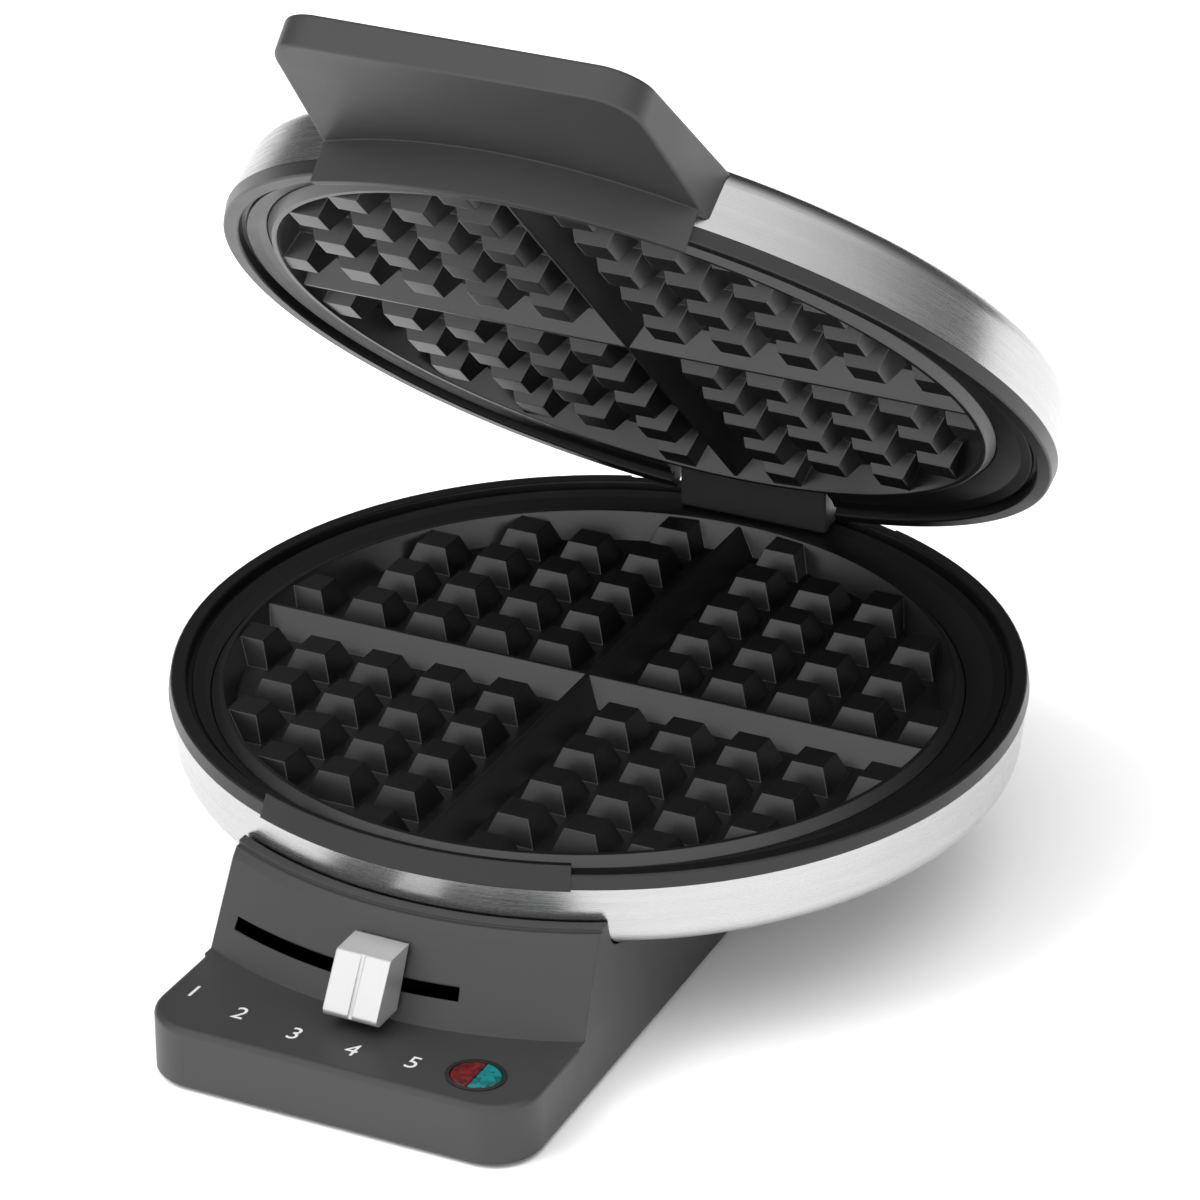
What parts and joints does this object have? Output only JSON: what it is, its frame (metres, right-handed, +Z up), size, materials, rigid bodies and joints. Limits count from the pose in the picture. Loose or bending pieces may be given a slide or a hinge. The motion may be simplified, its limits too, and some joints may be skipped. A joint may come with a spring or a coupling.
{
  "type": "waffle maker",
  "caption": "Round hinged waffle maker with non-stick grid plates, steel shells, a front handle, a sliding temperature lever and an indicator window.",
  "frame": {"origin": "on the surface the feet stand on, under the centre of the appliance's outline with the lid at rest, part open", "axes": "+Z up, +X to the right as seen from the front, +Y towards the hinge at the back"},
  "size_m": [0.2012, 0.2392, 0.2285],
  "materials": {
    "housing_plastic": "satin dark grey",
    "cover_plastic": "matt black",
    "pin_steel": "black oxide",
    "bracket_steel": "black",
    "screw_steel": "bright zinc",
    "foot_rubber": "matt",
    "bezel_plastic": "dark",
    "lens_red": "clear red",
    "lens_green": "clear green",
    "lamp_glass": "clear",
    "circuit_board": "satin",
    "shell_steel": "brushed",
    "rim_plastic": "satin black",
    "grid_aluminium": "non-stick coating",
    "zinc_steel": "zinc plated",
    "element_sheath": "oxidised",
    "reflector_aluminium": "bright",
    "ceramic": "glazed ceramic",
    "fuse_brass": "satin",
    "knob_plastic": "satin light grey"
  },
  "bodies": {
    "base": {"base_housing": "housing_plastic", "base_bottom_cover": "cover_plastic", "base_cover_screws": "screw_steel", "rubber_feet": "foot_rubber", "indicator_bezel": "bezel_plastic", "indicator_lens_red": "lens_red", "indicator_lens_green": "lens_green", "indicator_lamps": "lamp_glass", "indicator_board": "circuit_board", "lower_shell": "shell_steel", "shell_bolts": "screw_steel", "shell_nuts": "screw_steel", "lower_bezel_ring": "rim_plastic", "lower_grid_plate": "grid_aluminium", "lower_clamp_bars": "zinc_steel", "lower_clamp_screws": "screw_steel", "lower_heating_element": "element_sheath", "lower_element_clips": "zinc_steel", "lower_reflector": "reflector_aluminium", "thermostat_body": "ceramic", "thermostat_bracket": "zinc_steel", "thermal_fuse": "fuse_brass", "terminal_block": "cover_plastic", "cord_inlet_gland": "foot_rubber", "hinge_block": "housing_plastic", "hinge_base_plate": "zinc_steel", "hinge_block_screws": "screw_steel", "hinge_pins": "pin_steel"},
    "temperature_lever": {"thermostat_shaft": "pin_steel", "temperature_lever_arm": "bracket_steel", "slider_knob": "knob_plastic"},
    "lid": {"lid_shell": "shell_steel", "lid_bezel_ring": "rim_plastic", "lid_grid_plate": "grid_aluminium", "lid_clamp_bars": "zinc_steel", "lid_clamp_screws": "screw_steel", "lid_heating_element": "element_sheath", "lid_element_clips": "zinc_steel", "lid_reflector": "reflector_aluminium", "lid_handle": "housing_plastic", "lid_handle_screws": "screw_steel", "lid_hinge_brackets": "bracket_steel", "lid_hinge_screws": "screw_steel"}
  },
  "joints": [
    {"name": "lid_hinge", "type": "hinge", "parent": "base", "child": "lid", "pos_m": [0, 0.11113, 0.0605], "axis": [-1, 0, 0], "range_deg": [-44.4, 55.6]},
    {"name": "temperature_lever_pivot", "type": "hinge", "parent": "base", "child": "temperature_lever", "pos_m": [0, 0.01753, 0.024], "axis": [0, 0, 1], "range_deg": [-18, 8]}
  ]
}
